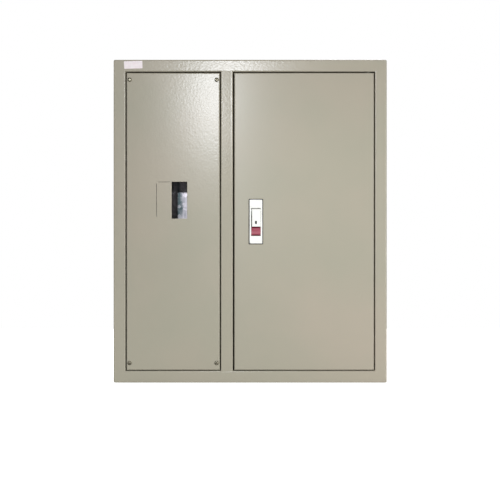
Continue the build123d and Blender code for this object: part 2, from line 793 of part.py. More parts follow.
cam_rear = Plane(origin=(0, y_at(cam_front + cam_thickness), 0), x_dir=(1, 0, 0), z_dir=(0, 1, 0))
cam_screw = pan_screws(
    cam_rear, [(lock_x, -spindle_z)], cam_screw_head_radius, cam_screw_head_height,
    cam_screw_radius, cam_screw_grip,
)
save(cam_screw, "cam_screw")

# Main switch plate behind the window, with stiffening edges and fixing slots
with BuildPart() as switch_plate:
    with BuildSketch(behind_front(switch_plate_behind_front)):
        with Locations((cover_x, window_z)):
            Rectangle(switch_plate_width, switch_plate_height)
    extrude(amount=-switch_plate_edge)
    with BuildSketch(behind_front(switch_plate_behind_front + switch_plate_thickness)):
        with Locations((cover_x, window_z)):
            Rectangle(switch_plate_width - 2 * switch_plate_thickness, switch_plate_height)
    extrude(amount=-switch_plate_edge, mode=Mode.SUBTRACT)
    fillet(switch_plate.faces().sort_by(Axis.Y)[0].edges().filter_by(Axis.Z), fold_radius)
    with BuildSketch(behind_front(switch_plate_behind_front)):
        with Locations(*switch_screw_spots):
            Circle(switch_screw_radius + loose_fit)
        with Locations(*corner_spots(cover_x, window_z, switch_slot_pitch_x, switch_slot_pitch_z)):
            SlotOverall(switch_slot_length, switch_slot_width)
    extrude(amount=-switch_plate_thickness, mode=Mode.SUBTRACT)
save(switch_plate.part, "switch_plate")

# Hexagon standoffs that carry the switch plate
with BuildPart() as switch_plate_standoffs:
    with BuildSketch(behind_front(back_face)):
        with Locations(*switch_screw_spots):
            RegularPolygon(switch_standoff_across_flats / 2, 6, major_radius=False)
    extrude(amount=back_face - switch_plate_behind_front - switch_plate_thickness)
    with BuildSketch(behind_front(switch_plate_behind_front + switch_plate_thickness)):
        with Locations(*switch_screw_spots):
            Circle(switch_screw_radius + thread_fit)
    extrude(amount=-switch_screw_grip, mode=Mode.SUBTRACT)
save(switch_plate_standoffs.part, "switch_plate_standoffs")

switch_plate_screws = pan_screws(
    behind_front(switch_plate_behind_front), switch_screw_spots, switch_screw_head_radius,
    switch_screw_head_height, switch_screw_radius, switch_screw_grip,
)
save(switch_plate_screws, "switch_plate_screws")


def rail_upright(side):
    """Folded Z section from the back panel to the breaker rails, mirrored on the other side."""
    x = inner_cover_x + side * upright_pitch / 2
    foot_x = x + side * upright_flange
    with BuildPart() as upright:
        with BuildSketch(Plane.XY.offset(-upright_length / 2)):
            with BuildLine():
                FilletPolyline(
                    (x - side * upright_flange, y_at(rail_back + sheet / 2)),
                    (x, y_at(rail_back + sheet / 2)),
                    (x, y_at(back_face - sheet / 2)),
                    (foot_x, y_at(back_face - sheet / 2)),
                    radius=fold_radius - sheet / 2,
                )
            trace(line_width=sheet)
        extrude(amount=upright_length)
        with BuildSketch(behind_front(back_face - sheet)):
            with Locations(*[spot for spot in upright_stud_spots if (spot[0] - inner_cover_x) * side > 0]):
                Circle(stud_foot_radius + loose_fit)
        extrude(amount=-sheet, mode=Mode.SUBTRACT)
        with BuildSketch(behind_front(rail_back)):
            with Locations(*[spot for spot in rail_screw_spots if (spot[0] - inner_cover_x) * side > 0]):
                Circle(rail_screw_radius + thread_fit)
        extrude(amount=-sheet, mode=Mode.SUBTRACT)
    return upright.part


save(rail_upright(-1), "left_rail_upright")
save(rail_upright(1), "right_rail_upright")
save(studs(behind_front(back_face), upright_stud_spots, stud_length), "upright_studs")
save(hex_nuts(behind_front(back_face - sheet), upright_stud_spots, stud_radius), "upright_nuts")


def din_rail(z):
    """Top-hat rail for one breaker row."""
    with BuildPart() as rail:
        with BuildSketch(Plane.YZ.offset(inner_cover_x - rail_length / 2)):
            with BuildLine():
                FilletPolyline(
                    (y_at(rail_front + rail_sheet / 2), z - rail_height / 2),
                    (y_at(rail_front + rail_sheet / 2), z - rail_web / 2),
                    (y_at(rail_back - rail_sheet / 2), z - rail_web / 2),
                    (y_at(rail_back - rail_sheet / 2), z + rail_web / 2),
                    (y_at(rail_front + rail_sheet / 2), z + rail_web / 2),
                    (y_at(rail_front + rail_sheet / 2), z + rail_height / 2),
                    radius=rail_sheet,
                )
            trace(line_width=rail_sheet)
        extrude(amount=rail_length)
        with BuildSketch(behind_front(rail_back - rail_sheet)):
            with Locations(*[spot for spot in rail_screw_spots if abs(spot[1] - z) < rail_height]):
                Circle(rail_screw_radius + loose_fit)
        extrude(amount=-rail_sheet, mode=Mode.SUBTRACT)
    return rail.part


save(din_rail(row_spacing / 2), "upper_din_rail")
save(din_rail(-row_spacing / 2), "lower_din_rail")
din_rail_screws = pan_screws(
    behind_front(rail_back - rail_sheet), rail_screw_spots, rail_screw_head_radius,
    rail_screw_head_height, rail_screw_radius, rail_sheet + sheet + rail_screw_past_upright,
)
save(din_rail_screws, "din_rail_screws")

# Inner cover: a folded pan with a slot for each breaker row
with BuildPart() as inner_cover:
    with BuildSketch(behind_front(inner_cover_behind_front)):
        with Locations((inner_cover_x, 0)):
            Rectangle(inner_cover_width, inner_cover_height)
    extrude(amount=-inner_cover_fold)
    with BuildSketch(behind_front(inner_cover_behind_front + sheet)):
        with Locations((inner_cover_x, 0)):
            Rectangle(inner_cover_width - 2 * sheet, inner_cover_height - 2 * sheet)
    extrude(amount=-inner_cover_fold, mode=Mode.SUBTRACT)
    fillet(inner_cover.faces().filter_by(Axis.Y).sort_by(Axis.Y)[0].edges(), fold_radius)
    with BuildSketch(behind_front(inner_cover_behind_front)):
        for row in (-1, 1):
            with Locations((inner_cover_x, row * row_spacing / 2)):
                Rectangle(slot_length, slot_height)
        with Locations(*post_spots):
            Circle(inner_screw_radius + loose_fit)
    extrude(amount=-sheet, mode=Mode.SUBTRACT)
save(inner_cover.part, "inner_cover")

# Posts on the back panel that carry the inner cover
with BuildPart() as inner_cover_posts:
    with BuildSketch(behind_front(back_face)):
        with Locations(*post_spots):
            Circle(post_radius)
    extrude(amount=back_face - inner_cover_behind_front - sheet)
    with BuildSketch(behind_front(inner_cover_behind_front + sheet)):
        with Locations(*post_spots):
            Circle(inner_screw_radius + thread_fit)
    extrude(amount=-inner_screw_grip, mode=Mode.SUBTRACT)
save(inner_cover_posts.part, "inner_cover_posts")

inner_cover_screws = pan_screws(
    behind_front(inner_cover_behind_front), post_spots, inner_screw_head_radius,
    inner_screw_head_height, inner_screw_radius, inner_screw_grip,
)
save(inner_cover_screws, "inner_cover_screws")


def terminal_bar(z):
    """Brass bar with cross bores for the wires and tapped holes for their screws."""
    with BuildPart() as bar:
        with BuildSketch(behind_front(bar_front)):
            with Locations((inner_cover_x, z)):
                Rectangle(bar_length, bar_width)
        extrude(amount=-bar_thickness)
        with BuildSketch(Plane.XY.offset(z - bar_width / 2)):
            with Locations((inner_cover_x, y_at(bar_front + bar_thickness / 2))):
                with GridLocations(bar_terminal_pitch, 1, bar_terminals, 1):
                    Circle(bar_bore_radius)
        extrude(amount=bar_width, mode=Mode.SUBTRACT)
        with BuildSketch(behind_front(bar_front)):
            with Locations((inner_cover_x, z)):
                with GridLocations(bar_terminal_pitch, 1, bar_terminals, 1):
                    Circle(bar_screw_radius + thread_fit)
        extrude(amount=-bar_thickness / 2, mode=Mode.SUBTRACT)
    return bar.part


def bar_supports(z):
    """Two moulded feet under a terminal bar, each with a seat for the bar's end."""
    with BuildPart() as feet:
        with BuildSketch(behind_front(back_face)):
            with Locations((inner_cover_x, z)):
                with GridLocations(bar_support_pitch, 1, 2, 1):
                    Rectangle(bar_support_width, bar_support_height)
        extrude(amount=bar_support_depth)
        chamfer(raised_faces(feet.part, behind_front(back_face), bar_support_depth).edges(), bar_support_edge)
        with BuildSketch(behind_front(bar_front)):
            with Locations((inner_cover_x, z)):
                Rectangle(bar_length + 2 * thread_fit, bar_width)
        extrude(amount=-bar_thickness, mode=Mode.SUBTRACT)
    return feet.part


def bar_screws(z):
    spots = [
        (inner_cover_x + (i - (bar_terminals - 1) / 2) * bar_terminal_pitch, z) for i in range(bar_terminals)
    ]
    return pan_screws(
        behind_front(bar_front), spots, bar_screw_head_radius, bar_screw_head_height,
        bar_screw_radius, bar_thickness / 2 - bar_bore_radius / 2,
    )


for bar_name, bar_z in (("neutral", bar_from_middle), ("earth", -bar_from_middle)):
    save(terminal_bar(bar_z), bar_name + "_bar")
    save(bar_supports(bar_z), bar_name + "_bar_supports")
    save(bar_screws(bar_z), bar_name + "_bar_screws")


def gland_plate(end):
    """Cable entry plate inside the top wall, end 1, or bottom wall, end -1, with part-cut knock-outs."""
    wall_inside = Plane.XY.offset(end * (height / 2 - sheet))
    with BuildPart() as plate:
        with BuildSketch(wall_inside):
            with Locations((0, y_at(gland_behind_front))):
                Rectangle(gland_cut_width + 2 * gland_overlap, gland_cut_depth + 2 * gland_overlap)
            with Locations(*gland_screw_spots):
                Circle(gland_screw_radius + thread_fit, mode=Mode.SUBTRACT)
        extrude(amount=-end * sheet)
        with BuildSketch(wall_inside):
            with Locations((0, y_at(gland_behind_front))):
                with GridLocations(knockout_pitch, 1, knockout_count, 1):
                    Circle(knockout_radius)
                    Circle(knockout_radius - knockout_groove, mode=Mode.SUBTRACT)
        extrude(amount=-end * knockout_groove_depth, mode=Mode.SUBTRACT)
    return plate.part


save(gland_plate(1), "top_gland_plate")
save(gland_plate(-1), "bottom_gland_plate")
top_inside = Plane(origin=(0, 0, height / 2 - 2 * sheet), x_dir=(1, 0, 0), z_dir=(0, 0, -1))
bottom_inside = Plane.XY.offset(-height / 2 + 2 * sheet)
gland_top_screws = pan_screws(
    top_inside, [(x, -y) for x, y in gland_screw_spots], gland_screw_head_radius,
    gland_screw_head_height, gland_screw_radius, 2 * sheet,
)
gland_bottom_screws = pan_screws(
    bottom_inside, gland_screw_spots, gland_screw_head_radius,
    gland_screw_head_height, gland_screw_radius, 2 * sheet,
)
save(gland_top_screws, "top_gland_screws")
save(gland_bottom_screws, "bottom_gland_screws")

# Earth stud of the cabinet
earth_spot = [(earth_stud_x, earth_stud_z)]
save(studs(behind_front(back_face), earth_spot, stud_length), "earth_stud")
save(hex_nuts(behind_front(back_face - nut_lift), earth_spot, stud_radius), "earth_nut")
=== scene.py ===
import json
from math import cos, pi, radians, sin

import bmesh
import bpy
from mathutils import Matrix, Vector


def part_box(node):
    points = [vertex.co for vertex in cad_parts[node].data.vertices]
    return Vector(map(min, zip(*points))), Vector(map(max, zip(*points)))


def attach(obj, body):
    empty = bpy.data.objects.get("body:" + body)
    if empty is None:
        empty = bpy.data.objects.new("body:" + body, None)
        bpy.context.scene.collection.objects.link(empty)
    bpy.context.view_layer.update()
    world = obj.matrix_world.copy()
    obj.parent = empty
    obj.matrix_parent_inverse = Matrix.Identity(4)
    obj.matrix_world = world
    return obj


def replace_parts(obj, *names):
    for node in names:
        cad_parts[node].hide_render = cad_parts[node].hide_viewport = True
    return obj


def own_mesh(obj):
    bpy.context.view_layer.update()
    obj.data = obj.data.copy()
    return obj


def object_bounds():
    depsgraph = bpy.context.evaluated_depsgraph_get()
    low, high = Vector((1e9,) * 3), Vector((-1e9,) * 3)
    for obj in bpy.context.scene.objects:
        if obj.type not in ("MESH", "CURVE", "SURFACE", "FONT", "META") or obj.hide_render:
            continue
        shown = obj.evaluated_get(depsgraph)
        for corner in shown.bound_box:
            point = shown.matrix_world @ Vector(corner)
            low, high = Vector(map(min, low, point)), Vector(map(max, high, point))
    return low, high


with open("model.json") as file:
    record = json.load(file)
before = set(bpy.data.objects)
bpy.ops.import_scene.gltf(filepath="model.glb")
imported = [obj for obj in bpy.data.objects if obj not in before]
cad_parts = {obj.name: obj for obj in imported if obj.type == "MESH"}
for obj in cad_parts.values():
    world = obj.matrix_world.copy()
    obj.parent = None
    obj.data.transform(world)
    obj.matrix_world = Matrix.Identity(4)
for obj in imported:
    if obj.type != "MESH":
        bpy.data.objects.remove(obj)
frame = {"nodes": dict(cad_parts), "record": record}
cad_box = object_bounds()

mm = 0.001

# View of the photograph, which is square
image_size = 500
pixel = 2.0115 * mm
box_middle_row = 221.2
box_middle_column = 250.2
camera_from_front = 2200 * mm
sensor_width = 36.0

# Studio
floor_size = 2.7
floor_glow = 0.9
ambient_strength = 0.25
cool_white = (0.92, 0.95, 1.0)
warm_white = (1.0, 0.99, 0.965)
paper_white = (1.0, 1.0, 1.0, 1.0)
# Round lamps: place, width, power and colour
lamps = {
    "key_light": (Vector((-0.37, -2.42, 0.60)), 0.10, 17.5, cool_white),
    "fill_light": (Vector((1.30, -2.00, 0.20)), 1.00, 16.5, warm_white),
    "back_light": (Vector((0.80, 2.20, 1.80)), 1.20, 32.0, warm_white),
    "side_light": (Vector((-2.20, 0.70, 1.20)), 1.20, 24.0, warm_white),
}
# Soft spots beside the fill light: target, cone and power
spot_place = Vector((1.30, -2.00, 0.30))
spot_radius = 0.2
spot_blend = 1.0
spots = {
    "middle_spot": (Vector((0.14, -0.15, 0.125)), radians(12.5), 58.0),
    "low_spot": (Vector((0.06, -0.15, -0.50)), radians(36.0), 47.0),
}

# Powder coat: height of its orange peel, and how many times as high the slow waves of the sheet are
coat_relief = 0.085 * mm
wave_share = 30.0
# Bow of the sheets, and the level at which it is flat
bow_curve = 0.114
bow_middle = 0.267
# Roll of the centre mullion towards its right-hand bend: where it starts, and its curve
roll_start = -39.6 * mm
roll_curve = {"centre_mullion": 8.0}
# Lean of each sheet, share of orange peel, specular level and range of roughness
plain_sheet = (0.0, 0.7, 0.09, (0.15, 0.18))
sheet_looks = {
    "cabinet_shell": (0.060, 1.60, 0.21, (0.185, 0.215)),
    "centre_mullion": (0.026, 0.75, 0.095, (0.15, 0.18)),
    "cover_panel": (0.049, 0.66, 0.112, (0.165, 0.195)),
    "door_panel": (0.044, 0.3, 0.14, (0.21, 0.23)),
}

# Shares that the patterns take in each other
grit_in_peel = 0.35
grit_in_tone = 0.15
frost_in_height = 0.4
crystals_in_tone = 0.1
lines_in_tone = 0.3
grain_in_tone = 0.1
cells_in_tone = 0.2
# Frost on hot-dip zinc: where its runs lie, which also puts the switch plate's lighter runs at the right
# of the cover's window as painted light, and how they stretch; and the stretch of drawn lines
frost_and_light_shift = (2.16, 0.0, 0.0)
frost_stretch = (60.0, 60.0, 10.0)
line_stretch = (40.0, 1400.0, 1400.0)
# Tones at which a finish has its colour of painted shade, its dark and its light colour
painted_shade_tone = 0.0
dark_tone = 0.3
light_tone = 0.8
# Painted shade inside the lock, darkening the pocket behind the flap and the steps of the push button:
# depth at which it starts on each plastic, depth at which it is full, and share
white_grime_start = 2.0 * mm
red_grime_start = 1.0 * mm
painted_shade_full = 5.0 * mm
grime_share = 0.6

# Screws: radius and height of the head, radius of the shank
cover_screw = (4.2 * mm, 2.4 * mm, 2.0 * mm)
inner_cover_screw = (4.6 * mm, 2.8 * mm, 2.5 * mm)
switch_plate_screw = (4.6 * mm, 2.8 * mm, 2.5 * mm)
rail_screw = (4.5 * mm, 2.5 * mm, 2.5 * mm)
lock_screw = (2.7 * mm, 1.8 * mm, 1.5 * mm)
cam_screw = (5.5 * mm, 3.0 * mm, 2.5 * mm)
screw_sides = 32
rim_share = 0.4
crown_share = 0.3
crown_steps = 5
recess_reach = 0.5
recess_width = 0.22
recess_depth = 0.6
recess_taper = 0.6
screw_turn = radians(37)
place_digits = 6

# Weld studs
stud_foot_radius = 3.9 * mm
stud_foot_height = 1.0 * mm
thread_crest = 3.0 * mm
thread_root = 2.55 * mm
thread_pitch = 1.0 * mm
thread_flank = 0.4 * thread_pitch
thread_flat = 0.2 * thread_pitch

# Blank label on the top lip
label_width = 37.0 * mm
label_height = 15.2 * mm
label_thickness = 0.12 * mm
label_corner = 1.0 * mm
label_corner_steps = 4
label_from_left = 39.8 * mm
label_below_top = 10.4 * mm
label_tilt = radians(1.7)

# Black plate inside the keyway: painted shade that makes the keyhole dark
shade_plate_width = 3.7 * mm
shade_plate_height = 6.7 * mm
shade_plate_thickness = 1.0 * mm
shade_plate_behind_plug = 1.6 * mm

# Grip ribs in the dish of the push button
rib_count = 3
rib_pitch = 3.0 * mm
rib_length = 12.0 * mm
rib_height = 0.9 * mm
rib_proud = 0.45 * mm
rib_root = 0.6 * mm
rib_round = 0.4 * rib_height
rib_round_steps = 3
dish_depth = 0.8 * mm

# Return spring behind the push button
spring_radius = 2.6 * mm
spring_wire = 0.4 * mm
spring_wire_sides = 10
spring_turns = 5
spring_steps = 24

# Angles up to which a surface is shaded smooth
smooth_angle = radians(35)
thread_smooth_angle = radians(20)

# Upward share of a normal from which a face counts as level
level_share = 0.5


def linear(red, green, blue):
    """Linear colour of a display colour from 0 to 255."""
    shares = (value / 255 for value in (red, green, blue))
    return tuple(s / 12.92 if s < 0.04045 else ((s + 0.055) / 1.055) ** 2.4 for s in shares) + (1.0,)


# Surface patterns that several finishes share
def pattern_group(name, controls):
    """Empty node group with number inputs, the outputs Height and Tone, and the place on the object."""
    group = bpy.data.node_groups.new(name, "ShaderNodeTree")
    for label, value in controls.items():
        socket = group.interface.new_socket(label, in_out="INPUT", socket_type="NodeSocketFloat")
        socket.default_value = value
    for label in ("Height", "Tone"):
        group.interface.new_socket(label, in_out="OUTPUT", socket_type="NodeSocketFloat")
    inputs = group.nodes.new("NodeGroupInput")
    outputs = group.nodes.new("NodeGroupOutput")
    place = group.nodes.new("ShaderNodeTexCoord")
    return group, inputs.outputs, outputs.inputs, place.outputs["Object"]


def noise(group, place, scale, detail, seed=None):
    """Cloudy pattern, which a seed makes another one."""
    texture = group.nodes.new("ShaderNodeTexNoise")
    texture.inputs["Detail"].default_value = detail
    if seed:
        texture.noise_dimensions = "4D"
        group.links.new(seed, texture.inputs["W"])
    group.links.new(place, texture.inputs["Vector"])
    group.links.new(scale, texture.inputs["Scale"])
    return texture.outputs["Fac"]


def cells(group, place, scale):
    """Pattern of closed cells: the colour of each, and the distance from its middle."""
    texture = group.nodes.new("ShaderNodeTexVoronoi")
    group.links.new(place, texture.inputs["Vector"])
    group.links.new(scale, texture.inputs["Scale"])
    return texture.outputs


def stretched(group, place, scale, shift=(0.0, 0.0, 0.0)):
    """Place scaled by its own amount along each axis, and shifted."""
    mapping = group.nodes.new("ShaderNodeMapping")
    mapping.inputs["Location"].default_value = shift
    mapping.inputs["Scale"].default_value = scale
    group.links.new(place, mapping.inputs["Vector"])
    return mapping.outputs["Vector"]


def along(group, place):
    """X, Y and Z of a place, by their letters."""
    split = group.nodes.new("ShaderNodeSeparateXYZ")
    group.links.new(place, split.inputs["Vector"])
    return split.outputs


def calculate(group, operation, *values):
    """Result of an operation on plain numbers and patterns."""
    result = group.nodes.new("ShaderNodeMath")
    result.operation = operation
    for socket, value in zip(result.inputs, values):
        if isinstance(value, float):
            socket.default_value = value
        else:
            group.links.new(value, socket)
    return result.outputs["Value"]


def weighted(group, first, second, share):
    """First value plus a share of the second."""
    return calculate(group, "MULTIPLY_ADD", second, share, first)


def powder_coat_skin():
    """Orange peel of a powder coat over sheet that is never quite flat, with a slow drift of its tone."""
    group, control, result, place = pattern_group(
        "powder_coat_skin",
        {
            "Peel Scale": 245.0, "Peel Share": 1.0, "Grit Scale": 700.0,
            "Cloud Scale": 5.0, "Cloud Seed": 88.7, "Wave Scale": 3.0, "Sheet Seed": 0.0,
            "Sheet Lean": 0.0, "Sheet Bow": 0.0, "Roll Start": 0.0, "Roll Curve": 0.0,
        },
    )
    peel = noise(group, place, control["Peel Scale"], detail=1.0)
    grit = noise(group, place, control["Grit Scale"], detail=1.0)
    cloud = noise(group, place, control["Cloud Scale"], detail=3.0, seed=control["Cloud Seed"])
    wave = noise(group, place, control["Wave Scale"], detail=0.0, seed=control["Sheet Seed"])
    axes = along(group, place)
    coat = calculate(group, "MULTIPLY", weighted(group, peel, grit, grit_in_peel), control["Peel Share"])
    leaning = calculate(group, "MULTIPLY_ADD", axes["X"], control["Sheet Lean"], coat)
    past_start = calculate(group, "SUBTRACT", axes["X"], control["Roll Start"])
    roll = calculate(group, "POWER", calculate(group, "MAXIMUM", past_start, 0.0), 2.0)
    rolled = calculate(group, "MULTIPLY_ADD", roll, control["Roll Curve"], leaning)
    bow = calculate(group, "POWER", calculate(group, "SUBTRACT", axes["Z"], bow_middle), 2.0)
    bowed = calculate(group, "MULTIPLY_ADD", bow, control["Sheet Bow"], rolled)
    group.links.new(weighted(group, bowed, wave, wave_share), result["Height"])
    group.links.new(weighted(group, cloud, grit, grit_in_tone), result["Tone"])
    return group


def spangle_skin():
    """Crystals of hot-dip zinc under a cloudy white frost that ran down the sheet, shifted so that on the
    switch plate its lighter runs also stand as painted light.
    """
    group, control, result, place = pattern_group(
        "spangle_skin", {"Crystal Scale": 150.0, "Frost Scale": 1.0},
    )
    crystals = cells(group, place, control["Crystal Scale"])
    shade = group.nodes.new("ShaderNodeSeparateColor")
    group.links.new(crystals["Color"], shade.inputs["Color"])
    runs = stretched(group, place, frost_stretch, frost_and_light_shift)
    frost = noise(group, runs, control["Frost Scale"], detail=5.0)
    lightened = weighted(group, frost, shade.outputs["Red"], crystals_in_tone)
    group.links.new(weighted(group, crystals["Distance"], frost, frost_in_height), result["Height"])
    group.links.new(weighted(group, lightened, shade.outputs["Green"], -crystals_in_tone), result["Tone"])
    return group


def drawn_skin():
    """Fine lines of drawn or rolled metal, along X."""
    group, control, result, place = pattern_group(
        "drawn_skin", {"Line Scale": 1.0, "Stain Scale": 60.0},
    )
    lines = noise(group, stretched(group, place, line_stretch), control["Line Scale"], detail=2.0)
    stain = noise(group, place, control["Stain Scale"], detail=3.0)
    group.links.new(lines, result["Height"])
    group.links.new(weighted(group, stain, lines, lines_in_tone), result["Tone"])
    return group


def moulded_skin():
    """Spark-eroded grain of a moulded plastic, with faint flow clouds, and with painted shade that darkens
    it from a depth on.
    """
    group, control, result, place = pattern_group(
        "moulded_skin",
        {
            "Grain Scale": 2600.0, "Flow Scale": 80.0,
            "Grime Start": 0.0, "Grime End": 1.0, "Grime Share": 0.0,
        },
    )
    grain = noise(group, place, control["Grain Scale"], detail=2.0)
    flow = noise(group, place, control["Flow Scale"], detail=2.0)
    # Painted shade: the tone drops from a depth behind the lock's front, standing in for the shade in the
    # lock's pocket and the button's steps
    grime = group.nodes.new("ShaderNodeMapRange")
    group.links.new(along(group, place)["Y"], grime.inputs["Value"])
    group.links.new(control["Grime Start"], grime.inputs["From Min"])
    group.links.new(control["Grime End"], grime.inputs["From Max"])
    group.links.new(control["Grime Share"], grime.inputs["To Max"])
    clean = weighted(group, flow, grain, grain_in_tone)
    group.links.new(grain, result["Height"])
    group.links.new(calculate(group, "SUBTRACT", clean, grime.outputs["Result"]), result["Tone"])
    return group


def foam_skin():
    """Closed cells of a foam strip."""
    group, control, result, place = pattern_group(
        "foam_skin", {"Cell Scale": 1500.0, "Dust Scale": 120.0},
    )
    skin = cells(group, place, control["Cell Scale"])["Distance"]
    dust = noise(group, place, control["Dust Scale"], detail=4.0)
    group.links.new(skin, result["Height"])
    group.links.new(weighted(group, dust, skin, cells_in_tone), result["Tone"])
    return group


def finish(name, skin, dark, light, roughness, bump, metallic=0.0, painted_shade_colour=None, **controls):
    """Material whose colour, roughness and bump follow a pattern, with a colour of painted shade for deep
    places.
    """
    material = bpy.data.materials.new(name)
    material.use_nodes = True
    nodes = material.node_tree.nodes
    links = material.node_tree.links
    shader = nodes["Principled BSDF"]
    shader.inputs["Metallic"].default_value = metallic
    pattern = nodes.new("ShaderNodeGroup")
    pattern.node_tree = skin
    for label, value in controls.items():
        pattern.inputs[label.replace("_", " ").title()].default_value = value
    colours = nodes.new("ShaderNodeValToRGB")
    colours.color_ramp.elements[0].position = dark_tone
    colours.color_ramp.elements[0].color = dark
    colours.color_ramp.elements[1].position = light_tone
    colours.color_ramp.elements[1].color = light
    # Colour of painted shade at the lowest tone, where the depth ramp pulls the tone down
    if painted_shade_colour:
        colours.color_ramp.elements.new(painted_shade_tone).color = painted_shade_colour
    links.new(pattern.outputs["Tone"], colours.inputs["Fac"])
    links.new(colours.outputs["Color"], shader.inputs["Base Color"])
    gloss = nodes.new("ShaderNodeMapRange")
    gloss.inputs["From Min"].default_value = dark_tone
    gloss.inputs["From Max"].default_value = light_tone
    gloss.inputs["To Min"].default_value = roughness[0]
    gloss.inputs["To Max"].default_value = roughness[1]
    links.new(pattern.outputs["Tone"], gloss.inputs["Value"])
    links.new(gloss.outputs["Result"], shader.inputs["Roughness"])
    relief = nodes.new("ShaderNodeBump")
    relief.inputs["Strength"].default_value = 1.0
    relief.inputs["Distance"].default_value = bump
    links.new(pattern.outputs["Height"], relief.inputs["Height"])
    links.new(relief.outputs["Normal"], shader.inputs["Normal"])
    return material


powder_coat = powder_coat_skin()
spangle = spangle_skin()
drawn = drawn_skin()
moulded = moulded_skin()
foam = foam_skin()


def sheet_paint(node, seed):
    """Beige powder coat on one folded sheet."""
    lean, peel, shine, roughness = sheet_looks.get(node, plain_sheet)
    material = finish(
        "paint_of_" + node, powder_coat, linear(167, 165, 148), linear(178, 169, 153),
        roughness, coat_relief, peel_share=peel, sheet_seed=seed,
        sheet_lean=lean / coat_relief, sheet_bow=bow_curve / coat_relief,
        roll_start=roll_start, roll_curve=roll_curve.get(node, 0.0) / coat_relief,
    )
    material.node_tree.nodes["Principled BSDF"].inputs["Specular IOR Level"].default_value = shine
    return material


# Finishes: pattern, dark and light colour, their roughness, height of the relief and share of bare metal
lock_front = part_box("lock_bezel")[0][1]
slot_finishes = {
    "galvanised_steel": finish(
        "galvanised_steel", spangle, linear(142, 148, 152), linear(196, 199, 204),
        (0.44, 0.40), 0.05 * mm, 0.6,
    ),
    "zinc_fastener": finish(
        "zinc_fastener", drawn, linear(176, 178, 176), linear(208, 209, 206), (0.26, 0.38), 0.01 * mm, 1.0
    ),
    "rail_zinc": finish(
        "rail_zinc", drawn, linear(186, 184, 168), linear(214, 212, 198), (0.28, 0.42), 0.02 * mm, 1.0
    ),
    "bar_brass": finish(
        "bar_brass", drawn, linear(190, 150, 82), linear(226, 190, 118), (0.24, 0.38), 0.02 * mm, 1.0
    ),
    "bar_screw_zinc": finish(
        "bar_screw_zinc", drawn, linear(170, 170, 166), linear(204, 204, 198), (0.26, 0.40), 0.01 * mm, 1.0
    ),
    "blue_plastic": finish(
        "blue_plastic", moulded, linear(38, 84, 150), linear(48, 98, 168), (0.40, 0.52), 0.02 * mm
    ),
    "green_plastic": finish(
        "green_plastic", moulded, linear(40, 128, 72), linear(52, 146, 84), (0.40, 0.52), 0.02 * mm
    ),
    # Black foam seal: its dark brown is partly the foam's own colour and partly painted shade, set to the
    # colour of the shaded gaps round the cover and door
    "black_foam": finish(
        "black_foam", foam, linear(32, 26, 15), linear(52, 45, 30), (0.80, 0.95), 0.15 * mm
    ),
    # Dark gasket round the lock: its dark ring is painted shade, standing in for the shadow line round the
    # lock's bezel
    "gasket_rubber": finish(
        "gasket_rubber", moulded, linear(34, 34, 33), linear(48, 48, 46), (0.55, 0.68), 0.02 * mm
    ),
    # White lock plastic, with painted shade darkening the pocket behind the flap from a depth on
    "white_plastic": finish(
        "white_plastic", moulded, linear(244, 244, 238), linear(251, 251, 246), (0.26, 0.34), 0.006 * mm,
        painted_shade_colour=linear(70, 70, 66), grime_start=lock_front + white_grime_start,
        grime_end=lock_front + painted_shade_full, grime_share=grime_share,
    ),
    # Red button plastic, with painted shade darkening the steps at its ends from a depth on
    "red_plastic": finish(
        "red_plastic", moulded, linear(152, 66, 82), linear(174, 86, 101), (0.26, 0.36), 0.006 * mm,
        painted_shade_colour=linear(96, 44, 54), grime_start=lock_front + red_grime_start,
        grime_end=lock_front + painted_shade_full, grime_share=grime_share,
    ),
    "bush_nylon": finish(
        "bush_nylon", moulded, linear(70, 67, 56), linear(84, 81, 69), (0.48, 0.58), 0.01 * mm
    ),
    "lock_zinc": finish(
        "lock_zinc", moulded, linear(164, 165, 164), linear(196, 197, 195), (0.32, 0.46), 0.01 * mm, 1.0
    ),
}
dull_zinc = finish(
    "dull_zinc", drawn, linear(96, 92, 80), linear(140, 135, 119), (0.24, 0.34), 0.01 * mm, 1.0
)
pin_steel = finish(
    "pin_steel", drawn, linear(58, 55, 44), linear(86, 82, 67), (0.34, 0.50), 0.01 * mm, 1.0
)
# Switch plate seen through the cover's window: frost on zinc whose lavender-white part, lighter towards
# the window's right, is partly painted light
zinc_frost_and_painted_light = finish(
    "zinc_frost_and_painted_light", spangle, linear(74, 86, 88), linear(240, 230, 237), (0.44, 0.40), 0.05 * mm, 1.0
)
node_finishes = {"upper_pivot_pin": pin_steel, "lower_pivot_pin": pin_steel, "switch_plate": zinc_frost_and_painted_light}
# Black finish used only for the plate in the keyway: painted shade
keyway_shade_black = finish(
    "keyway_shade_black", drawn, linear(14, 14, 14), linear(24, 24, 24), (0.55, 0.70), 0.01 * mm
)
label_paper = finish(
    "label_paper", moulded, linear(240, 225, 228), linear(250, 244, 244), (0.42, 0.56), 0.004 * mm,
    flow_scale=140.0,
)
pale_floor = finish(
    "pale_floor", moulded, linear(226, 226, 226), linear(232, 232, 232), (0.85, 0.95), 0.02 * mm,
    flow_scale=2.0,
)


def paint_nodes():
    """Gives each node the finish of its slot, and each painted sheet a coat of its own."""
    for seed, subpart in enumerate(frame["record"]["subparts"]):
        slot = subpart["material_slot"]
        if slot == "beige_paint":
            material = sheet_paint(subpart["node"], seed)
        else:
            material = node_finishes.get(subpart["node"], slot_finishes[slot])
        for material_slot in frame["nodes"][subpart["node"]].material_slots:
            material_slot.material = material


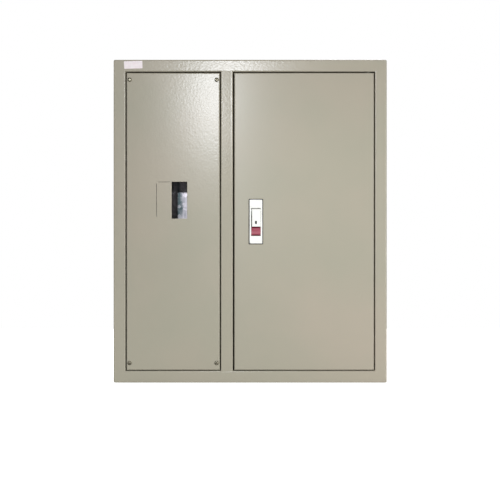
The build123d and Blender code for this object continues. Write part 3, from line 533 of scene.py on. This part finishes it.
def seen_or_not(tree, unseen, seen):
    """Shader with one look in the picture itself and another in the light that falls on the object."""
    path = tree.nodes.new("ShaderNodeLightPath")
    choice = tree.nodes.new("ShaderNodeMixShader")
    tree.links.new(path.outputs["Is Camera Ray"], choice.inputs["Fac"])
    tree.links.new(unseen, choice.inputs[1])
    tree.links.new(seen, choice.inputs[2])
    return choice.outputs["Shader"]


def emission(tree, strength):
    glow = tree.nodes.new("ShaderNodeEmission")
    glow.inputs["Strength"].default_value = strength
    return glow.outputs["Emission"]


def glow_for_camera(material, strength):
    """Makes the stage look white to the camera without lighting the object."""
    tree = material.node_tree
    glow = seen_or_not(tree, emission(tree, 0.0), emission(tree, strength))
    both = tree.nodes.new("ShaderNodeAddShader")
    tree.links.new(tree.nodes["Principled BSDF"].outputs["BSDF"], both.inputs[0])
    tree.links.new(glow, both.inputs[1])
    tree.links.new(both.outputs["Shader"], tree.nodes["Material Output"].inputs["Surface"])


paint_nodes()
glow_for_camera(pale_floor, floor_glow)


# Shaping and placing of pieces
def begin(add_primitive, **settings):
    """Adds a primitive by itself and opens it for face editing."""
    bpy.ops.object.select_all(action="DESELECT")
    add_primitive(**settings)
    piece = bpy.context.object
    bpy.ops.object.transform_apply(location=True, rotation=True, scale=True)
    bpy.ops.object.mode_set(mode="EDIT")
    bpy.ops.mesh.select_mode(type="FACE")
    return piece


def faces_up(normal):
    return normal.z > level_share


def faces_down(normal):
    return normal.z < -level_share


def faces_sideways(normal):
    return abs(normal.z) < level_share


def pick_faces(piece, wanted):
    """Selects the faces whose normal passes a test."""
    mesh = bmesh.from_edit_mesh(piece.data)
    bpy.ops.mesh.select_all(action="DESELECT")
    for face in mesh.faces:
        face.select_set(wanted(face.normal))
    bmesh.update_edit_mesh(piece.data)


def pick_points(piece, wanted):
    """Selects the points that pass a test."""
    bpy.ops.mesh.select_mode(type="VERT")
    mesh = bmesh.from_edit_mesh(piece.data)
    bpy.ops.mesh.select_all(action="DESELECT")
    for point in mesh.verts:
        point.select_set(wanted(point.co))
    bmesh.update_edit_mesh(piece.data)


def raise_cap(spread, rise):
    """Extrudes the picked cap upwards and spreads its outline."""
    bpy.ops.mesh.extrude_region_move(TRANSFORM_OT_translate={"value": (0, 0, rise)})
    bpy.ops.transform.resize(value=(spread, spread, 1))


def close(angle=smooth_angle):
    """Ends the editing of a piece with normals outwards and smooth shading up to an angle."""
    bpy.ops.mesh.select_all(action="SELECT")
    bpy.ops.mesh.normals_make_consistent(inside=False)
    bpy.ops.object.mode_set(mode="OBJECT")
    bpy.ops.object.shade_smooth_by_angle(angle=angle)


def apply_modifier(piece, modifier):
    bpy.context.view_layer.objects.active = piece
    bpy.ops.object.modifier_apply(modifier=modifier.name)


def copy_to(piece, place):
    """Copy with a mesh of its own, moved and turned inside the mesh."""
    twin = piece.copy()
    twin.data = piece.data.copy()
    twin.data.transform(place)
    bpy.context.scene.collection.objects.link(twin)
    return twin


def join(name, pieces):
    bpy.ops.object.select_all(action="DESELECT")
    for piece in pieces:
        piece.select_set(True)
    bpy.context.view_layer.objects.active = pieces[0]
    if len(pieces) > 1:
        bpy.ops.object.join()
    whole = bpy.context.object
    whole.name = name
    whole.data.name = name
    return whole


def middle_of(low, high):
    """Middle of a box, from its two corners."""
    return Vector([(a + b) / 2 for a, b in zip(low, high)])


def facing(forward):
    """Turn that points an upright piece to the front or to the back."""
    return Matrix.Rotation(pi / 2 if forward else -pi / 2, 4, "X")


def dress(piece, body, material):
    piece.data.materials.clear()
    piece.data.materials.append(material)
    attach(piece, body)
    return piece


# Screws with a domed head and a cross recess
def cross_cutter(head_radius, head_height):
    """Tapered cross that cuts the recess from the top of a head."""
    width = recess_width * head_radius
    depth = recess_depth * head_height
    cutter = begin(bpy.ops.mesh.primitive_cube_add, size=width, location=(0, 0, head_height))
    pick_faces(cutter, faces_sideways)
    arm = recess_reach * head_radius - width / 2
    bpy.ops.mesh.extrude_faces_move(TRANSFORM_OT_shrink_fatten={"value": arm})
    bpy.ops.mesh.select_all(action="SELECT")
    bpy.ops.transform.resize(value=(1, 1, 2 * depth / width))
    pick_faces(cutter, faces_down)
    bpy.ops.transform.resize(value=(recess_taper, recess_taper, 1))
    close()
    return cutter


def pan_head_screw(head_radius, head_height, shank_radius, length):
    """One screw with its head up, seated at the origin."""
    screw = begin(
        bpy.ops.mesh.primitive_cylinder_add, vertices=screw_sides, radius=shank_radius, depth=length,
        location=(0, 0, -length / 2),
    )
    pick_faces(screw, faces_up)
    raise_cap(head_radius / shank_radius, 0)
    raise_cap(1, rim_share * head_height)
    reach = 1.0
    level = 0.0
    for step in range(1, crown_steps + 1):
        angle = step / crown_steps * pi / 2
        next_reach = crown_share + (1 - crown_share) * cos(angle)
        next_level = (1 - rim_share) * head_height * sin(angle)
        raise_cap(next_reach / reach, next_level - level)
        reach = next_reach
        level = next_level
    close()
    cutter = cross_cutter(head_radius, head_height)
    recess = screw.modifiers.new("recess", "BOOLEAN")
    recess.operation = "DIFFERENCE"
    recess.object = cutter
    apply_modifier(screw, recess)
    bpy.data.objects.remove(cutter)
    return screw


def screw_set(name, node, sizes, body, material, head_forward=True):
    """Screws in the place of a node's plain ones, one at each corner of the node's box."""
    head_radius, head_height, shank_radius = sizes
    low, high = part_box(node)
    length = high[1] - low[1] - head_height
    seat = low[1] + head_height if head_forward else high[1] - head_height
    columns = sorted({round(x, place_digits) for x in (low[0] + head_radius, high[0] - head_radius)})
    rows = sorted({round(z, place_digits) for z in (low[2] + head_radius, high[2] - head_radius)})
    model = pan_head_screw(head_radius, head_height, shank_radius, length)
    copies = []
    for x in columns:
        for z in rows:
            turn = Matrix.Rotation(screw_turn * (len(copies) + 1), 4, "Z")
            copies.append(copy_to(model, Matrix.Translation((x, seat, z)) @ facing(head_forward) @ turn))
    bpy.data.objects.remove(model)
    whole = dress(join(name, copies), body, material)
    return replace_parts(whole, node)


zinc = slot_finishes["zinc_fastener"]
screw_set("cover_screw_set", "cover_screws", cover_screw, "cabinet", dull_zinc)
screw_set("inner_cover_screw_set", "inner_cover_screws", inner_cover_screw, "cabinet", zinc)
screw_set("switch_plate_screw_set", "switch_plate_screws", switch_plate_screw, "cabinet", zinc)
screw_set("rail_screw_set", "din_rail_screws", rail_screw, "cabinet", zinc)
screw_set("lock_screw_set", "lock_fixing_screws", lock_screw, "door", zinc, head_forward=False)
screw_set("cam_screw_head", "cam_screw", cam_screw, "cam", zinc, head_forward=False)


# Weld studs with their threads
def threaded_stud(name, node, body, tip_forward):
    low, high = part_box(node)
    length = high[1] - low[1]
    stud = begin(
        bpy.ops.mesh.primitive_cylinder_add, vertices=screw_sides, radius=stud_foot_radius,
        depth=stud_foot_height, location=(0, 0, stud_foot_height / 2),
    )
    pick_faces(stud, faces_up)
    raise_cap(thread_root / stud_foot_radius, 0)
    for turn in range(int((length - stud_foot_height) / thread_pitch)):
        raise_cap(thread_crest / thread_root, thread_flank)
        raise_cap(1, thread_flat)
        raise_cap(thread_root / thread_crest, thread_flank)
    close(angle=thread_smooth_angle)
    foot = middle_of(low, high)
    foot.y = high[1] if tip_forward else low[1]
    stud.data.transform(Matrix.Translation(foot) @ facing(tip_forward))
    stud.name = name
    dress(stud, body, zinc)
    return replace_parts(stud, node)


threaded_stud("door_stud_thread", "door_earth_stud", "door", tip_forward=False)
threaded_stud("earth_stud_thread", "earth_stud", "cabinet", tip_forward=True)


# Blank label on the top lip
def blank_label():
    label = begin(bpy.ops.mesh.primitive_plane_add, size=1)
    bpy.ops.transform.resize(value=(label_width, label_height, 1))
    bpy.ops.mesh.bevel(offset=label_corner, segments=label_corner_steps, affect="VERTICES")
    bpy.ops.mesh.select_all(action="SELECT")
    bpy.ops.mesh.extrude_region_move(TRANSFORM_OT_translate={"value": (0, 0, label_thickness)})
    close()
    low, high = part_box("cabinet_shell")
    place = Matrix.Translation((low[0] + label_from_left, low[1], high[2] - label_below_top))
    tilt = Matrix.Rotation(-label_tilt, 4, "Y")
    label.data.transform(place @ tilt @ facing(True))
    label.name = "blank_label"
    return dress(label, "cabinet", label_paper)


blank_label()


# Black plate behind the keyway's mouth: painted shade for the dark keyhole
def keyway_shade_plate():
    low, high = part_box("lock_plug")
    shade_plate = begin(
        bpy.ops.mesh.primitive_cylinder_add, vertices=screw_sides, radius=shade_plate_width / 2,
        depth=shade_plate_thickness,
    )
    stretch = (shade_plate_height - shade_plate_width) / 2
    for side in (-1, 1):
        pick_points(shade_plate, lambda point: point.y * side > 0)
        bpy.ops.transform.translate(value=(0, side * stretch, 0))
    close()
    place = middle_of(low, high)
    place.y = low[1] + shade_plate_behind_plug + shade_plate_thickness / 2
    shade_plate.data.transform(Matrix.Translation(place) @ facing(True))
    shade_plate.name = "keyway_shade_plate"
    return dress(shade_plate, "key_plug", keyway_shade_black)


keyway_shade_plate()


# Grip ribs of the push button
def grip_ribs():
    low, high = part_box("push_button")
    front = low[1] + dish_depth - rib_proud
    rib = begin(bpy.ops.mesh.primitive_cube_add, size=1)
    bpy.ops.transform.resize(value=(rib_length, rib_proud + rib_root, rib_height))
    bpy.ops.mesh.bevel(offset=rib_round, segments=rib_round_steps, affect="EDGES")
    close()
    ribs = []
    for index in range(rib_count):
        place = middle_of(low, high)
        place.y = front + (rib_proud + rib_root) / 2
        place.z += (index - (rib_count - 1) / 2) * rib_pitch
        ribs.append(copy_to(rib, Matrix.Translation(place)))
    bpy.data.objects.remove(rib)
    return dress(join("button_grip_ribs", ribs), "button", slot_finishes["red_plastic"])


grip_ribs()


# Return spring behind the push button, held by the door
def return_spring():
    low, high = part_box("button_spring")
    length = high[1] - low[1]
    coil = begin(
        bpy.ops.mesh.primitive_circle_add, vertices=spring_wire_sides, radius=spring_wire,
        location=(spring_radius, 0, 0), rotation=(pi / 2, 0, 0),
    )
    bpy.ops.object.mode_set(mode="OBJECT")
    winding = coil.modifiers.new("winding", "SCREW")
    winding.screw_offset = (length - 2 * spring_wire) / spring_turns
    winding.iterations = spring_turns
    winding.steps = spring_steps
    winding.render_steps = spring_steps
    apply_modifier(coil, winding)
    bpy.ops.object.mode_set(mode="EDIT")
    bpy.ops.mesh.select_all(action="SELECT")
    bpy.ops.mesh.fill_holes(sides=spring_wire_sides)
    close()
    back = middle_of(low, high)
    back.y = high[1]
    place = Matrix.Translation(back - Vector((0, spring_wire, 0)))
    coil.data.transform(place @ facing(True))
    coil.name = "button_return_spring"
    dress(coil, "door", slot_finishes["lock_zinc"])
    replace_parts(coil, "button_spring")
    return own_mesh(coil)


return_spring()


# Stage, light and camera
def hang(light, place, target, power):
    """Hangs a lamp so that it looks at a target."""
    light.energy = power
    lamp = bpy.data.objects.new(light.name, light)
    lamp.location = place
    lamp.rotation_euler = (target - place).to_track_quat("-Z", "Y").to_euler()
    bpy.context.scene.collection.objects.link(lamp)


def round_lamp(name, place, target, width, power, colour):
    light = bpy.data.lights.new(name, "AREA")
    light.shape = "DISK"
    light.size = width
    light.color = colour
    hang(light, place, target, power)


def soft_spot(name, place, target, cone, power):
    light = bpy.data.lights.new(name, "SPOT")
    light.spot_size = cone
    light.spot_blend = spot_blend
    light.shadow_soft_size = spot_radius
    hang(light, place, target, power)


def studio():
    low, high = cad_box
    bpy.ops.object.select_all(action="DESELECT")
    bpy.ops.mesh.primitive_plane_add(size=floor_size, location=(0, 0, low[2]))
    floor = bpy.context.object
    floor.name = "studio_floor"
    floor.data.materials.append(pale_floor)

    front = Vector((0, low[1], 0))
    for name, (place, width, power, colour) in lamps.items():
        round_lamp(name, place, front, width, power, colour)
    for name, (target, cone, power) in spots.items():
        soft_spot(name, spot_place, target, cone, power)

    world = bpy.data.worlds.new("white_studio")
    world.use_nodes = True
    tree = world.node_tree
    ambient = tree.nodes["Background"]
    ambient.inputs["Color"].default_value = paper_white
    ambient.inputs["Strength"].default_value = ambient_strength
    paper = tree.nodes.new("ShaderNodeBackground")
    paper.inputs["Color"].default_value = paper_white
    room = seen_or_not(tree, ambient.outputs["Background"], paper.outputs["Background"])
    tree.links.new(room, tree.nodes["World Output"].inputs["Surface"])
    bpy.context.scene.world = world
    bpy.context.scene.view_settings.view_transform = "Standard"


def photograph_camera():
    low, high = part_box("cabinet_shell")
    middle = (low[2] + high[2]) / 2
    lens = bpy.data.cameras.new("photograph_camera")
    lens.sensor_width = sensor_width
    lens.lens = sensor_width * camera_from_front / (image_size * pixel)
    camera = bpy.data.objects.new("photograph_camera", lens)
    height = middle + (box_middle_row - image_size / 2) * pixel
    across = (image_size / 2 - box_middle_column) * pixel
    camera.location = (across, low[1] - camera_from_front, height)
    camera.rotation_euler = (pi / 2, 0, 0)
    bpy.context.scene.collection.objects.link(camera)
    bpy.context.scene.camera = camera


studio()
photograph_camera()
